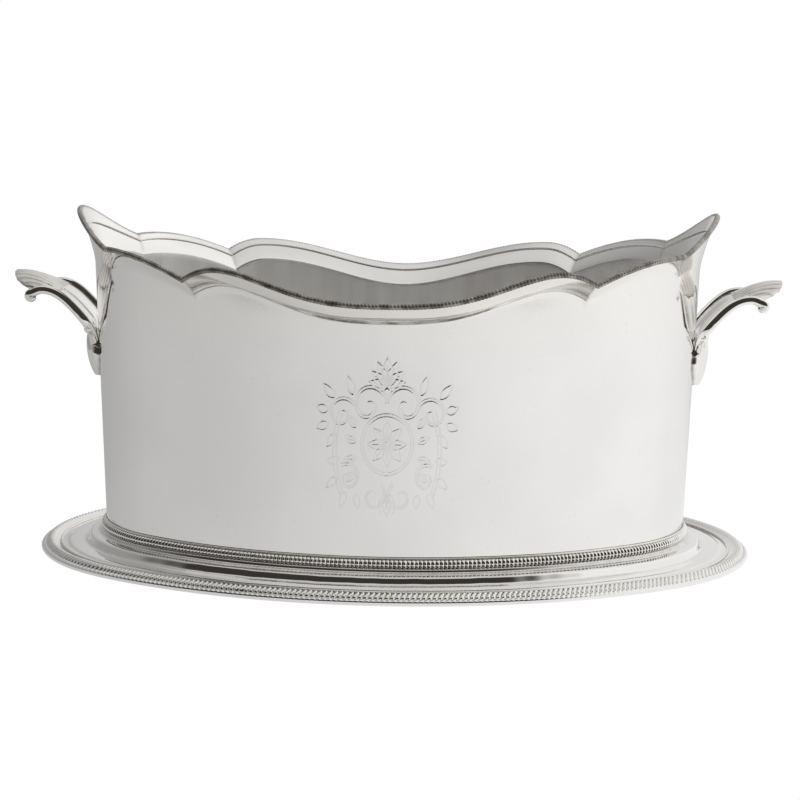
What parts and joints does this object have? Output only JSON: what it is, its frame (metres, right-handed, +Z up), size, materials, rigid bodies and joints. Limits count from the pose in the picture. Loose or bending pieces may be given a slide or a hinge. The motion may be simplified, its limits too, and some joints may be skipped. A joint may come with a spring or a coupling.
{
  "type": "champagne bucket",
  "caption": "Oval silver bucket with a scalloped flared lip, gadrooned foot and a cast shell handle at each end, for chilling several bottles.",
  "frame": {"origin": "middle of the underside of the foot, on the surface the bucket stands on", "axes": "+Z up, X along the long axis from handle to handle, -Y towards the engraved front"},
  "size_m": [0.4932, 0.3348, 0.2205],
  "materials": {
    "plain_silver": "polished silver plate",
    "bright_silver": "bright polished silver plate",
    "aged_silver": "silver plate with light tarnish"
  },
  "bodies": {
    "root": {"base_plate": "plain_silver", "base_border": "bright_silver", "base_roll": "bright_silver", "base_reed": "aged_silver", "collar": "bright_silver", "collar_wire": "aged_silver", "body_wall": "plain_silver", "body_floor": "aged_silver", "lip": "plain_silver", "lip_wire": "aged_silver", "lip_reed": "bright_silver", "left_strap": "plain_silver", "left_rail_front": "plain_silver", "left_rail_back": "plain_silver", "left_shell": "bright_silver", "left_leaf": "plain_silver", "right_strap": "plain_silver", "right_rail_front": "plain_silver", "right_rail_back": "plain_silver", "right_shell": "bright_silver", "right_leaf": "plain_silver"}
  },
  "joints": []
}
